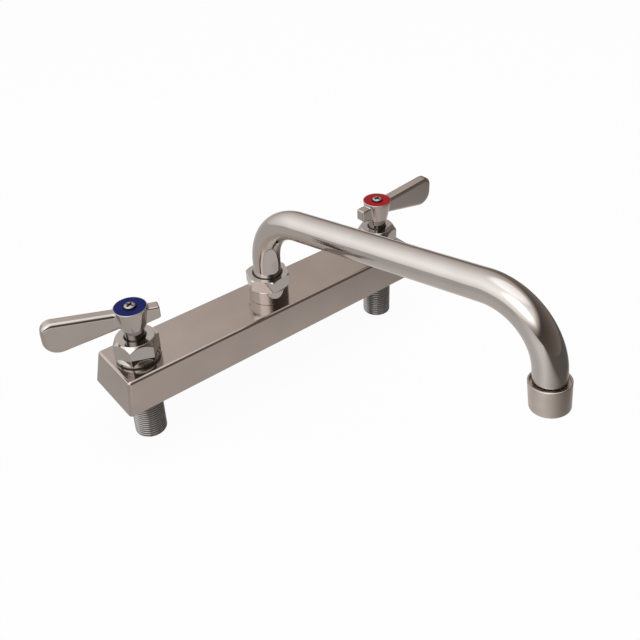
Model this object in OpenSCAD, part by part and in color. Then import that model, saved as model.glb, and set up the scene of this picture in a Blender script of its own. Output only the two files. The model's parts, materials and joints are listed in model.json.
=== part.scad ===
// Deck-mount kitchen faucet: two lever valves on a long body, with a swinging spout between them.
// Millimetres, +Z up. The origin is on the deck plane, half way between the two valves.
// The valves lie along X and the spout points towards -Y. The cold valve is at -X.

/* [Body] */
// Distance between the two valve centres
valve_centres = 203.2; // [150:0.1:305]
// Length of body beyond each valve centre, at deck level
body_overhang = 21.7; // [19:0.1:40]
// Width of the body at deck level
body_w = 48; // [42:0.1:70]
// Height of the body above the deck
body_h = 22.8; // [19:0.1:30]
// How far each long side leans in between deck and top
side_draft = 2.7; // [0:0.1:5]
// How far each end leans in between deck and top
end_draft = 3.3; // [0:0.1:5]
// Radius of the body's upright corners
body_corner_r = 2.4; // [2.3:0.1:8]
// Radius of the rounded edge round the body's top
body_edge_r = 2.1; // [0.5:0.1:2.2]
// Thickness of the deck gasket in the underside
gasket_t = 2; // [1:0.1:4]
// Width of the metal rim round the deck gasket
gasket_rim = 4; // [2:0.1:6]
// Radius of the cored waterway that joins the valves to the spout
waterway_r = 3.5; // [2:0.1:4]
// Height of the waterway's centre line above the floor of the valve chambers
waterway_lift = 2; // [1:0.1:4]

/* [Inlet shanks] */
// Outside radius of the threaded shank
shank_r = 10.45; // [8:0.05:11]
// Wall of the shank
shank_wall = 2.85; // [2:0.05:3.5]
// Length of shank below the deck
shank_drop = 38.7; // [20:0.1:80]
// Step in radius where the shank enters the body
shank_step = 1; // [0.6:0.1:1.4]
// Width of the metal boss round each shank hole in the body's underside
shank_boss_w = 2.5; // [1:0.1:4]
// Chamfer on the shank's lower end
shank_chamfer = 0.9; // [0.3:0.1:2]

/* [Valve cartridges] */
// Depth of the valve chamber below the body's top
chamber_depth = 12; // [11:0.1:13.5]
// Wall between the top of the shank and the valve chamber
seat_wall = 2.5; // [2:0.1:4]
// Radius of the water port up into the valve chamber
seat_port_r = 4.5; // [3:0.1:4.6]
// Outside radius of the cartridge housing
housing_r = 8.95; // [8.7:0.05:9.2]
// Wall of the cartridge housing round the discs
housing_wall = 1.3; // [1:0.1:1.6]
// Thickness of each ceramic disc
disc_t = 3; // [2.5:0.1:3.2]
// Thickness of the rubber seat seal
seat_seal_t = 2.5; // [1.5:0.1:2.8]
// Thickness of the housing's flange
flange_t = 2.5; // [1.5:0.1:3]
// Radius of the housing's neck above the bonnet nut
neck_r = 6.35; // [5.5:0.05:6.5]
// Height of the neck above the flange
neck_h = 12.5; // [8:0.1:16]
// Radius of the valve stem
stem_r = 3.95; // [3:0.05:4]
// Length of stem that stands out of the neck
stem_out = 10; // [8.5:0.1:10.5]
// Number of teeth on the stem's spline
spline_teeth = 20; // [12:2:24]

/* [Bonnet nuts] */
// Wall of the body's threaded collar under the nut
collar_wall = 2; // [1.6:0.1:2.2]
// Height of the threaded collar above the body's top
collar_h = 8.5; // [7:0.1:14]
// Thickness of the washer under the bonnet nut
bonnet_washer_t = 1; // [0.5:0.1:2]
// Distance across the flats of the bonnet nut
bonnet_af = 25.6; // [25:0.1:30]
// Radius of the round flange at the foot of the bonnet nut
bonnet_flange_r = 14.2; // [12.9:0.1:16]
// Thickness of that flange
bonnet_flange_t = 1.8; // [1:0.1:3]
// Thickness of the bonnet nut above the cartridge flange
bonnet_lip = 4.8; // [4.4:0.1:7]
// Radius of the flat on top of the bonnet nut
bonnet_flat_r = 12; // [9:0.1:12.4]
// Turn of the cold bonnet nut about its axis, in degrees
cold_bonnet_turn = -12; // [-30:1:30]
// Turn of the hot bonnet nut about its axis, in degrees
hot_bonnet_turn = 18; // [-30:1:30]

/* [Handles] */
// Radius of the top of the handle's hub
hub_top_r = 10.4; // [10:0.05:13]
// Radius of the foot of the handle's hub
hub_foot_r = 7.4; // [7.3:0.1:9]
// Height of the hub
hub_h = 15; // [14:0.1:20]
// Distance from the valve axis to the lever's tip
lever_reach = 53.6; // [45:0.1:80]
// Thickness of the lever
lever_t = 8.6; // [5:0.1:9]
// Height of the lever's tip from its lowest to its highest point
lever_tip_h = 22.2; // [18:0.1:26]
// How far the lever's tip stands above the hub
lever_tip_rise = 2.6; // [0:0.1:6]
// Radius of the tip's upper corner
tip_upper_r = 6.8; // [4:0.1:9]
// Radius of the tip's lower corner
tip_lower_r = 9.8; // [6:0.1:10]
// Upward slope of the lever's top edge, in degrees
lever_top_slope = 5.4; // [0:0.1:8]
// Downward slope of the lever's lower edge, in degrees
lever_low_slope = 11.3; // [6:0.1:14]
// Distance from the valve axis to the end of the tail opposite the lever
tail_reach = 17.2; // [13:0.1:24]
// Thickness of the tail
tail_t = 7.4; // [4:0.1:9]
// Spline teeth by which the cold handle sits behind the body's line
cold_handle_teeth = 1; // [-1:1:2]
// Spline teeth by which the hot handle sits behind the body's line
hot_handle_teeth = 0; // [-1:1:2]
// Angle of the hot valve's stem behind its closed line, in degrees
hot_stem_turn = 1; // [-5:0.5:5]
// Thickness of the coloured index disc
index_t = 1.3; // [0.8:0.1:1.5]
// Metal rim round the index disc
index_rim = 0.55; // [0.3:0.05:1]
// Radius of the handle screw's head
screw_head_r = 4.2; // [3.5:0.1:6]
// Height of the handle screw's head
screw_head_h = 2.5; // [1.5:0.1:3]
// Radius of the handle screw's shank
screw_r = 2; // [1.5:0.05:2]

/* [Spout seat] */
// Radius of the round socket on the body
socket_r = 13.8; // [13:0.1:16]
// Height of the socket's shoulder above the body's top
socket_h = 10; // [8:0.1:16]
// Outside radius of the socket's upper thread
socket_neck_r = 12.1; // [11.8:0.05:12.2]
// Outside radius of the socket's lower thread
socket_thread_r = 11; // [10.8:0.1:11.4]
// Length of the socket's lower thread in the body
socket_thread_l = 6.5; // [5:0.1:7.5]
// Distance across the flats of the spout nut
spout_nut_af = 27; // [26.5:0.1:32]
// Height of the spout nut
spout_nut_h = 8.8; // [7:0.1:14]
// Thickness of the spout nut's top lip
spout_nut_lip = 2.3; // [1.5:0.1:2.6]
// Turn of the spout nut about its axis, in degrees
spout_nut_turn = 9; // [-30:1:30]

/* [Spout] */
// Outside diameter of the spout tube
tube_d = 19.05; // [18:0.05:19.1]
// Wall of the spout tube
tube_wall = 1.2; // [0.8:0.1:2]
// Length of straight riser above the spout nut
riser_l = 10.6; // [2:0.1:60]
// Bend radius of the tube's centre line
bend_r = 38.1; // [26:0.1:60]
// Length of the straight run between the bends
run_l = 141.5; // [60:0.1:260]
// Upward slope of the run, in degrees
run_slope = 7.5; // [0:0.1:15]
// Straight length between the second bend and the aerator
outlet_straight = 6.9; // [2:0.1:30]
// Outward tilt of the outlet, in degrees
outlet_tilt = 7; // [0:0.1:15]
// Angle of the spout from straight ahead, towards the hot side, in degrees
spout_swing = 7.5; // [-30:0.5:30]

/* [Aerator] */
// Radius of the aerator shell at its top
shell_top_r = 11.9; // [11.6:0.1:14]
// Radius of the aerator shell at its mouth
shell_mouth_r = 11.3; // [11.1:0.1:14]
// Height of the aerator shell
shell_h = 16.8; // [15.5:0.1:24]
// Outside radius of the threaded adapter on the tube's end
adapter_r = 10.75; // [10.4:0.05:10.8]
// Length of the threaded adapter
adapter_l = 9.4; // [6:0.1:9.6]

/* [Hidden] */
$fn = 96;
hull_fn = 32;

// Overrun of cuts, and how far joined solids sink into each other
overrun = 1;

// Clearances
thread_gap = 0.05;
running_gap = 0.05;
solder_gap = 0.02;
film = 0.05;
seal_gap = 0.02;
disc_gap = 0.07;
loose_gap = 0.1;
free_gap = 0.35;

// Body
body_l = valve_centres + 2 * body_overhang;
gasket_corner_r = 2;
chamber_floor = body_h - chamber_depth;
shank_grip = chamber_floor - seat_wall;
shank_grip_r = shank_r - shank_step;
shank_boss_r = shank_r + shank_boss_w;
chamber_r = housing_r + running_gap;
water_ring_depth = 1.9;
water_ring_lift = 1.5;
water_ring_h = 9;
waterway_z = chamber_floor + waterway_lift;
spout_well_r = 9;
spout_well_sump = 2.5;
spout_well_floor = waterway_z - waterway_r - spout_well_sump;
collar_r = chamber_r + collar_wall;
collar_top = body_h + collar_h;
shank_bore_r = shank_r - shank_wall;

// Valve cartridge, from the seat up
housing_lift = 0.5;
housing_in_r = housing_r - housing_wall;
seat_seal_r = housing_in_r - loose_gap;
disc_r = housing_in_r - disc_gap;
fixed_disc_z = chamber_floor + seat_seal_t;
turning_disc_z = fixed_disc_z + disc_t + film;
disc_top = turning_disc_z + disc_t;
disc_port_in_share = 0.25;
disc_port_out_share = 0.78;
disc_port_angle = 70;
disc_lug_w = 3;
disc_lug_h = 2;
drive_key_w = 2.4;
drive_key_l = 11;
drive_key_h = 1.2;
drive_bar_w = 6.6;
drive_bar_h = 2.5;
drive_bar_r = housing_in_r - free_gap;
stem_shoulder_r = 5.8;
stem_shoulder_h = 2.4;
stem_bore_r = stem_r + running_gap;
stem_bore_foot = disc_top + drive_bar_h + stem_shoulder_h;
window_w = 8;
window_h = 3.6;
flange_r = collar_r - free_gap;
flange_top = collar_top + flange_t;
neck_top = flange_top + neck_h;
stem_top = neck_top + stem_out;
housing_oring_t = 1.8;
housing_oring_drop = 4.3;
housing_oring_z = collar_top - housing_oring_drop;
housing_oring_in_r = chamber_r - seal_gap - housing_oring_t;
stem_oring_t = 1.1;
stem_oring_in_r = stem_bore_r - seal_gap - stem_oring_t;
stem_oring_pitch = 4;
clip_t = 0.7;
clip_r = 5.6;
clip_groove_depth = 0.8;
clip_gap_w = 2.6;
spline_lift = 1;
spline_foot = neck_top + spline_lift;
spline_tooth = 0.4;
spline_step = 0.1;
spline_r = stem_r - spline_step;
spline_pitch = 360 / spline_teeth;
stem_hole_depth = 9;

// Bonnet nut
bonnet_foot = body_h + bonnet_washer_t;
bonnet_top = flange_top + bonnet_lip;
bonnet_corner_r = bonnet_af / sqrt(3);
bonnet_chamfer_h = 3.8;
bonnet_foot_chamfer = 0.9;
bonnet_bore_gap = 0.15;

// Handle
hub_skirt = 0.6;
hub_edge = 0.25;
hub_band = 1;
hub_foot = neck_top - hub_skirt;
hub_top = hub_foot + hub_h;
counterbore_r = neck_r + free_gap;
counterbore_h = 3.2;
index_recess = index_t + loose_gap;
index_r = hub_top_r - index_rim;
screw_hole_gap = 0.25;
screw_grip = 8;
screw_seat = hub_top - index_recess + index_t;
phillips_l = 4.6;
phillips_w = 1.1;
phillips_depth = 1.2;
tip_top = hub_top + lever_tip_rise;
tip_low = tip_top - lever_tip_h;
lever_root_share = 0.4;
tail_root_share = 0.5;
tail_top_drop = 2.1;
tail_low_lift = 4.4;
tail_root_lift = 1;
tail_bevel = 0.7;

// Spout seat
socket_foot = body_h - socket_thread_l;
socket_shoulder = body_h + socket_h;
socket_edge = 0.6;
spout_nut_top = socket_shoulder + spout_nut_h;
spout_nut_step = spout_nut_top - spout_nut_lip;
spout_nut_room = 0.3;
socket_neck_top = spout_nut_step - spout_nut_room;
spout_nut_corner_r = spout_nut_af / sqrt(3);
spout_nut_chamfer = 1.2;
spout_nut_chamfer_h = 0.6;
tube_r = tube_d / 2;
solder_r = tube_r + solder_gap;
socket_bore_r = tube_r + solder_gap + running_gap;
ferrule_r = socket_bore_r - running_gap;
ferrule_lift = 1;
ferrule_foot = socket_foot + ferrule_lift;
ferrule_wall = 3.3;
ferrule_bore_r = ferrule_r - ferrule_wall;
ferrule_shoulder_w = 1.35;
ferrule_shoulder_r = ferrule_r + ferrule_shoulder_w;
ferrule_shoulder_h = 5;
shelf_depth = 2.5;
shelf_z = socket_shoulder - shelf_depth;
shoulder_pocket_r = ferrule_shoulder_r + running_gap;
tube_seat = 1;
tube_foot = shelf_z + tube_seat;
spout_oring_t = 2;
spout_oring_in_r = socket_bore_r - seal_gap - spout_oring_t;
spout_oring_lift = 2;
spout_oring_pitch = 6;
bushing_in_r = tube_r + running_gap;
bushing_body_r = shoulder_pocket_r - loose_gap;
bushing_lip_w = 0.75;
bushing_lip_r = bushing_in_r + bushing_lip_w;
bushing_foot = shelf_z + ferrule_shoulder_h + loose_gap;
spout_nut_hole_r = bushing_lip_r + loose_gap;

// Spout tube, in its own plane: outlet_s is the distance out from the swing axis
riser_top = spout_nut_top + riser_l;
bend_step = 0.04;
bend_lap = 0.4;
outlet_s = bend_r + run_l * cos(run_slope) + bend_r * cos(outlet_tilt)
    + outlet_straight * sin(outlet_tilt);
outlet_z = riser_top + run_l * sin(run_slope) + bend_r * sin(outlet_tilt)
    - outlet_straight * cos(outlet_tilt);
spout_yaw = spout_swing - 90;

// Aerator, measured down from the rim of its shell
adapter_inset = 1.6;
tube_short = 2;
tube_inset = adapter_inset + adapter_l - tube_short;
washer_t = 1.5;
washer_in_r = 7.4;
washer_z = adapter_inset + adapter_l;
screen_t = 0.5;
screen_rise = 0.9;
screen_cone_gap = 0.4;
screen_cone_r = washer_in_r - screen_cone_gap;
screen_z = washer_z + washer_t;
shell_thread_r = adapter_r + thread_gap;
shell_ledge_w = 0.8;
shell_cup_r = shell_thread_r - shell_ledge_w;
shell_lip_w = 0.7;
shell_lip_r = shell_cup_r - shell_lip_w;
shell_lip_t = 1;
shell_edge = 0.5;
insert_r = shell_cup_r - loose_gap;
insert_top = screen_z + screen_t;
insert_h = shell_h - insert_top - shell_lip_t;
insert_plate_t = 1.2;
insert_slots = 24;
insert_slot_w = 0.8;
insert_slot_l = 2;
insert_slot_shares = [0.48, 0.74];

// A plain ring between two radii, standing on z
module ring(in_r, out_r, z, h) {
    translate([0, 0, z]) difference() {
        cylinder(r = out_r, h = h);
        translate([0, 0, -overrun]) cylinder(r = in_r, h = h + 2 * overrun);
    }
}

// A round rod on the Z axis, from z up
module rod(r, z, h) {
    translate([0, 0, z]) cylinder(r = r, h = h);
}

// A hollow cut: the same rod, run past its upper end
module bore(r, z, h) {
    translate([0, 0, z]) cylinder(r = r, h = h + overrun);
}

// An O-ring of a given section and inner radius, with its centre plane at z
module oring(in_r, t, z) {
    translate([0, 0, z]) rotate_extrude() translate([in_r + t / 2, 0]) circle(d = t);
}

// A toothed rod for the spline, with its corners at out_r
module spline(out_r, z, h) {
    step = spline_pitch / 2;
    translate([0, 0, z]) linear_extrude(height = h)
        polygon([for (i = [0 : 2 * spline_teeth - 1])
            (out_r - (i % 2) * spline_tooth) * [cos(i * step), sin(i * step)]]);
}

// A hexagon whose corners are turned down: to flat_r at the top over drop, and by foot_chamfer below
module hex_nut_blank(corner_r, z, h, flat_r, drop, foot_chamfer) {
    intersection() {
        translate([0, 0, z]) cylinder(r = corner_r, h = h, $fn = 6);
        rotate_extrude() polygon([
            [0, z], [corner_r - foot_chamfer, z], [corner_r, z + foot_chamfer],
            [corner_r, z + h - drop], [flat_r, z + h], [0, z + h]
        ]);
    }
}

// Moves a piece to the cold valve, at -X, or the hot valve, at +X
module at_cold() {
    translate([-valve_centres / 2, 0, 0]) children();
}

module at_hot() {
    translate([valve_centres / 2, 0, 0]) children();
}

module at_each_valve() {
    at_cold() children();
    at_hot() children();
}

// Turns a piece drawn towards +X to the direction of each lever
module along_cold_lever() {
    at_cold() rotate([0, 0, 180 - cold_handle_teeth * spline_pitch]) children();
}

module along_hot_lever() {
    at_hot() rotate([0, 0, hot_stem_turn + hot_handle_teeth * spline_pitch]) children();
}

// Turns a piece drawn in the XZ plane to the direction of the spout
module along_spout() {
    rotate([0, 0, spout_yaw]) children();
}

// Moves a piece drawn below the origin to the spout's outlet
module at_outlet() {
    along_spout() translate([outlet_s, 0, outlet_z]) rotate([0, -outlet_tilt, 0]) children();
}

// One corner of the body's top, with its edge rounded
module top_corner() {
    inset = body_corner_r - body_edge_r;
    rotate_extrude($fn = hull_fn) {
        translate([0, -2 * body_edge_r]) square([inset, 2 * body_edge_r]);
        translate([inset, -body_edge_r]) intersection() {
            circle(r = body_edge_r, $fn = hull_fn);
            translate([-inset, -body_edge_r]) square([inset + body_edge_r, 2 * body_edge_r]);
        }
    }
}

// The drafted block of the body, run a little below the deck plane
module body_block() {
    slope_x = end_draft / body_h;
    slope_y = side_draft / body_h;
    top_x = body_l / 2 - end_draft - body_corner_r;
    top_y = body_w / 2 - side_draft - body_corner_r;
    low_x = body_l / 2 + slope_x * overrun - body_corner_r;
    low_y = body_w / 2 + slope_y * overrun - body_corner_r;
    hull() {
        for (sx = [-1, 1], sy = [-1, 1]) {
            translate([sx * top_x, sy * top_y, body_h]) top_corner();
            translate([sx * low_x, sy * low_y, -overrun])
                cylinder(r = body_corner_r, h = overrun / 2, $fn = hull_fn);
        }
    }
}

// A flat plate with round corners, centred on the origin
module round_plate(l, w, corner_r, h) {
    linear_extrude(height = h) {
        square([l - 2 * corner_r, w], center = true);
        square([l, w - 2 * corner_r], center = true);
        for (sx = [-1, 1], sy = [-1, 1])
            translate([sx * (l / 2 - corner_r), sy * (w / 2 - corner_r)]) circle(r = corner_r);
    }
}

module body() {
    gasket_l = body_l - 2 * gasket_rim;
    gasket_w = body_w - 2 * gasket_rim;
    color("silver") difference() {
        union() {
            difference() {
                body_block();
                translate([-body_l, -body_w, -2 * overrun]) cube([2 * body_l, 2 * body_w, 2 * overrun]);
            }
            at_each_valve() rod(collar_r, body_h - overrun, collar_top - body_h + overrun);
        }
        difference() {
            translate([0, 0, -overrun])
                round_plate(gasket_l, gasket_w, gasket_corner_r, gasket_t + overrun);
            at_each_valve() rod(shank_boss_r, -2 * overrun, gasket_t + 3 * overrun);
        }
        at_each_valve() {
            translate([0, 0, -overrun]) cylinder(r = shank_grip_r + thread_gap, h = shank_grip + overrun);
            bore(seat_port_r, shank_grip - overrun, seat_wall + overrun);
            bore(chamber_r, chamber_floor, collar_top - chamber_floor);
            rod(chamber_r + water_ring_depth, chamber_floor + water_ring_lift, water_ring_h);
        }
        bore(socket_thread_r + thread_gap, socket_foot, body_h - socket_foot);
        rod(spout_well_r, spout_well_floor, socket_foot - spout_well_floor + overrun);
        translate([-valve_centres / 2 + chamber_r, 0, waterway_z]) rotate([0, 90, 0])
            cylinder(r = waterway_r, h = valve_centres - 2 * chamber_r);
    }
}

module deck_gasket() {
    gasket_l = body_l - 2 * gasket_rim - 2 * loose_gap;
    gasket_w = body_w - 2 * gasket_rim - 2 * loose_gap;
    color("#222222") difference() {
        round_plate(gasket_l, gasket_w, gasket_corner_r, gasket_t);
        at_each_valve() translate([0, 0, -overrun])
            cylinder(r = shank_boss_r + loose_gap, h = gasket_t + 2 * overrun);
    }
}

module shank() {
    length = shank_drop + shank_grip;
    translate([0, 0, -shank_drop]) color("dimgray") difference() {
        rotate_extrude() polygon([
            [0, 0], [shank_r - shank_chamfer, 0], [shank_r, shank_chamfer], [shank_r, shank_drop],
            [shank_grip_r, shank_drop], [shank_grip_r, length], [0, length]
        ]);
        translate([0, 0, -overrun]) cylinder(r = shank_bore_r, h = length + 2 * overrun);
    }
}

module bonnet_washer() {
    color("#1a1a1a") ring(collar_r + thread_gap, bonnet_flange_r, body_h, bonnet_washer_t);
}

module bonnet_nut(turn) {
    color("silver") difference() {
        union() {
            rod(bonnet_flange_r, bonnet_foot, bonnet_flange_t);
            rotate([0, 0, turn]) hex_nut_blank(bonnet_corner_r, bonnet_foot,
                bonnet_top - bonnet_foot, bonnet_flat_r, bonnet_chamfer_h, bonnet_foot_chamfer);
        }
        translate([0, 0, bonnet_foot - overrun])
            cylinder(r = collar_r + thread_gap, h = flange_top - bonnet_foot + overrun);
        bore(neck_r + bonnet_bore_gap, flange_top - overrun, bonnet_top - flange_top + overrun);
    }
}

module cartridge_housing() {
    foot = chamber_floor + housing_lift;
    color("goldenrod") difference() {
        union() {
            rod(housing_r, foot, collar_top - foot);
            rod(flange_r, collar_top, flange_t);
            rod(neck_r, flange_top, neck_top - flange_top);
        }
        translate([0, 0, foot - overrun])
            cylinder(r = housing_in_r, h = stem_bore_foot - foot + overrun);
        bore(stem_bore_r, stem_bore_foot - overrun, neck_top - stem_bore_foot + overrun);
        translate([-window_w / 2, -housing_r - overrun, disc_top])
            cube([window_w, 2 * (housing_r + overrun), window_h]);
        translate([-housing_r - overrun, -disc_lug_w / 2 - loose_gap, foot - overrun])
            cube([2 * (housing_r + overrun), disc_lug_w + 2 * loose_gap,
                fixed_disc_z + disc_lug_h - foot + overrun + loose_gap]);
        ring(housing_oring_in_r - seal_gap, housing_r + overrun,
            housing_oring_z - housing_oring_t / 2 - loose_gap, housing_oring_t + 2 * loose_gap);
    }
}

module housing_oring() {
    color("#1a1a1a") oring(housing_oring_in_r, housing_oring_t, housing_oring_z);
}

module seat_seal() {
    color("#1a1a1a") ring(seat_port_r, seat_seal_r, chamber_floor, seat_seal_t);
}

// The two sector ports through a ceramic disc, centred on a direction
module disc_ports(direction, z) {
    for (turn = [0, 180])
        translate([0, 0, z - overrun])
            rotate_extrude(angle = disc_port_angle, start = direction + turn - disc_port_angle / 2)
                translate([disc_r * disc_port_in_share, 0])
                    square([disc_r * (disc_port_out_share - disc_port_in_share), disc_t + 2 * overrun]);
}

module fixed_disc() {
    lug_reach = housing_r - loose_gap;
    color("ivory") difference() {
        union() {
            rod(disc_r, fixed_disc_z, disc_t);
            intersection() {
                rod(lug_reach, fixed_disc_z, disc_lug_h);
                translate([-housing_r, -disc_lug_w / 2, fixed_disc_z])
                    cube([2 * housing_r, disc_lug_w, disc_lug_h]);
            }
        }
        disc_ports(0, fixed_disc_z);
    }
}

module turning_disc() {
    color("white") difference() {
        rod(disc_r, turning_disc_z, disc_t);
        disc_ports(90, turning_disc_z);
        translate([-drive_key_l / 2 - film, -drive_key_w / 2 - film, disc_top - drive_key_h - film])
            cube([drive_key_l + 2 * film, drive_key_w + 2 * film, drive_key_h + film + overrun]);
    }
}

module stem() {
    groove_r = stem_r - clip_groove_depth;
    bar_mid = disc_top + drive_bar_h / 2;
    color("goldenrod") difference() {
        union() {
            translate([-drive_key_l / 2, -drive_key_w / 2, disc_top - drive_key_h])
                cube([drive_key_l, drive_key_w, drive_key_h + drive_bar_h / 2]);
            intersection() {
                rod(drive_bar_r, disc_top, drive_bar_h);
                translate([-drive_bar_r, -drive_bar_w / 2, disc_top])
                    cube([2 * drive_bar_r, drive_bar_w, drive_bar_h]);
            }
            rod(stem_shoulder_r, bar_mid, stem_bore_foot - loose_gap - bar_mid);
            rod(stem_r, bar_mid, spline_foot - bar_mid);
            spline(spline_r, spline_foot, stem_top - spline_foot);
        }
        for (i = [0, 1])
            ring(stem_oring_in_r - seal_gap, stem_r + overrun,
                flange_top + i * stem_oring_pitch - stem_oring_t / 2 - film, stem_oring_t + 2 * film);
        ring(groove_r, stem_r + overrun, neck_top + loose_gap, clip_t + 2 * film);
        bore(screw_r + thread_gap, stem_top - stem_hole_depth, stem_hole_depth);
    }
}

module stem_orings() {
    color("#1a1a1a") for (i = [0, 1])
        oring(stem_oring_in_r, stem_oring_t, flange_top + i * stem_oring_pitch);
}

module stem_clip() {
    foot = neck_top + loose_gap + film;
    color("gray") difference() {
        ring(stem_r - clip_groove_depth + film, clip_r, foot, clip_t);
        translate([0, -clip_gap_w / 2, foot - overrun])
            cube([2 * clip_r, clip_gap_w, clip_t + 2 * overrun]);
    }
}

// The lever's side view: straight edges that run tangent into two round corners
module lever_outline() {
    root = hub_top_r * lever_root_share;
    upper = [lever_reach - tip_upper_r, tip_top - tip_upper_r];
    lower = [lever_reach - tip_lower_r, tip_low + tip_lower_r];
    top_end = upper + tip_upper_r * [-sin(lever_top_slope), cos(lever_top_slope)];
    low_end = lower + tip_lower_r * [-sin(lever_low_slope), -cos(lever_low_slope)];
    translate(upper) circle(r = tip_upper_r);
    translate(lower) circle(r = tip_lower_r);
    polygon([
        [root, top_end.y - (top_end.x - root) * tan(lever_top_slope)], top_end, upper,
        [lever_reach, upper.y], [lever_reach, lower.y], lower, low_end,
        [root, low_end.y + (low_end.x - root) * tan(lever_low_slope)]
    ]);
}

// The tail's side view, on the far side of the hub from the lever
module tail_outline() {
    root = -hub_top_r * tail_root_share;
    top = hub_top - tail_top_drop;
    low = hub_foot + tail_low_lift;
    polygon([
        [root, top], [tail_bevel - tail_reach, top - tail_bevel], [-tail_reach, top - 2 * tail_bevel],
        [-tail_reach, low], [tail_bevel - tail_reach, low - tail_bevel], [root, hub_foot + tail_root_lift]
    ]);
}

module handle() {
    recess_z = hub_top - index_recess;
    color("silver") difference() {
        union() {
            rotate_extrude() polygon([
                [0, hub_foot], [hub_foot_r, hub_foot], [hub_top_r, hub_top - hub_band],
                [hub_top_r, hub_top - hub_edge], [hub_top_r - hub_edge, hub_top], [0, hub_top]
            ]);
            translate([0, lever_t / 2, 0]) rotate([90, 0, 0])
                linear_extrude(height = lever_t) lever_outline();
            translate([0, tail_t / 2, 0]) rotate([90, 0, 0])
                linear_extrude(height = tail_t) tail_outline();
        }
        translate([0, 0, hub_foot - overrun])
            cylinder(r = counterbore_r, h = counterbore_h + overrun);
        spline(spline_r + running_gap, hub_foot + counterbore_h - overrun,
            stem_top - hub_foot - counterbore_h + overrun + loose_gap);
        bore(screw_r + screw_hole_gap, stem_top, recess_z - stem_top);
        bore(index_r + film, recess_z, index_recess);
    }
}

module index_disc() {
    ring(screw_r + screw_hole_gap, index_r, hub_top - index_recess, index_t);
}

module handle_screw() {
    foot = stem_top - screw_grip;
    dome_r = (pow(screw_head_r, 2) + pow(screw_head_h, 2)) / (2 * screw_head_h);
    color("gray") difference() {
        union() {
            rod(screw_r, foot, screw_seat - foot + screw_head_h / 2);
            intersection() {
                translate([0, 0, screw_seat + screw_head_h - dome_r]) sphere(r = dome_r);
                rod(screw_head_r, screw_seat, screw_head_h);
            }
        }
        for (turn = [0, 90])
            rotate([0, 0, turn])
                translate([-phillips_l / 2, -phillips_w / 2, screw_seat + screw_head_h - phillips_depth])
                    cube([phillips_l, phillips_w, phillips_depth + overrun]);
    }
}

module spout_socket() {
    color("silver") difference() {
        union() {
            rod(socket_thread_r, socket_foot, body_h - socket_foot);
            rotate_extrude() polygon([
                [0, body_h], [socket_r, body_h], [socket_r, socket_shoulder - socket_edge],
                [socket_r - socket_edge, socket_shoulder], [0, socket_shoulder]
            ]);
            rod(socket_neck_r, socket_shoulder, socket_neck_top - socket_shoulder);
        }
        translate([0, 0, socket_foot - overrun])
            cylinder(r = socket_bore_r, h = shelf_z - socket_foot + 2 * overrun);
        bore(shoulder_pocket_r, shelf_z, socket_neck_top - shelf_z);
    }
}

module spout_nut() {
    color("silver") difference() {
        rotate([0, 0, spout_nut_turn]) hex_nut_blank(spout_nut_corner_r, socket_shoulder, spout_nut_h,
            spout_nut_corner_r - spout_nut_chamfer, spout_nut_chamfer_h, spout_nut_chamfer);
        translate([0, 0, socket_shoulder - overrun])
            cylinder(r = socket_neck_r + thread_gap, h = spout_nut_h - spout_nut_lip + overrun);
        bore(spout_nut_hole_r, socket_shoulder, spout_nut_h);
    }
}

module spout_bushing() {
    color("#111111") difference() {
        union() {
            rod(bushing_body_r, bushing_foot, spout_nut_step - bushing_foot);
            rod(bushing_lip_r, bushing_foot, spout_nut_top - bushing_foot);
        }
        translate([0, 0, bushing_foot - overrun])
            cylinder(r = bushing_in_r, h = spout_nut_top - bushing_foot + 2 * overrun);
    }
}

// The height of each of the two O-rings on the ferrule
function spout_oring_z(i) = ferrule_foot + spout_oring_lift + i * spout_oring_pitch;

module spout_ferrule() {
    groove_h = spout_oring_t + 2 * film;
    color("goldenrod") difference() {
        union() {
            rod(ferrule_r, ferrule_foot, tube_foot - ferrule_foot);
            rod(ferrule_shoulder_r, shelf_z + film, ferrule_shoulder_h - film);
        }
        translate([0, 0, ferrule_foot - overrun])
            cylinder(r = ferrule_bore_r, h = tube_foot - ferrule_foot + 2 * overrun);
        bore(solder_r, tube_foot, shelf_z + ferrule_shoulder_h - tube_foot);
        for (i = [0, 1])
            ring(spout_oring_in_r - seal_gap, ferrule_r + overrun,
                spout_oring_z(i) - groove_h / 2, groove_h);
    }
}

module spout_orings() {
    color("#1a1a1a") for (i = [0, 1]) oring(spout_oring_in_r, spout_oring_t, spout_oring_z(i));
}

// The wall of the tube in cross-section, thinned by a given amount on each side
module tube_section(thinned) {
    difference() {
        circle(r = tube_r - thinned);
        circle(r = tube_r - tube_wall + thinned);
    }
}

// One bend of the tube in the XZ plane, round a centre at the origin
module tube_bend(start, sweep) {
    rotate([90, 0, 0]) rotate_extrude(angle = sweep, start = start) translate([bend_r, 0]) tube_section(0);
}

// A straight length of tube up the Z axis that runs a little way into the bends beyond its ends
module tube_straight(l, foot_lap, top_lap) {
    translate([0, 0, -foot_lap]) linear_extrude(height = l + foot_lap + top_lap) tube_section(bend_step);
}

module spout_tube() {
    bend_z = riser_top + run_l * sin(run_slope);
    bend_s = bend_r + run_l * cos(run_slope);
    color("silver") along_spout() {
        translate([0, 0, tube_foot]) tube_straight(riser_top - tube_foot, 0, bend_lap);
        translate([bend_r, 0, riser_top]) tube_bend(90 + run_slope, 90 - run_slope);
        translate([bend_r - bend_r * sin(run_slope), 0, riser_top + bend_r * cos(run_slope)])
            rotate([0, 90 - run_slope, 0]) tube_straight(run_l, bend_lap, bend_lap);
        translate([bend_s, 0, bend_z]) tube_bend(outlet_tilt, 90 + run_slope - outlet_tilt);
        translate([outlet_s, 0, outlet_z]) rotate([0, -outlet_tilt, 0])
            translate([0, 0, -tube_inset]) tube_straight(outlet_straight + tube_inset, 0, bend_lap);
    }
}

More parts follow.
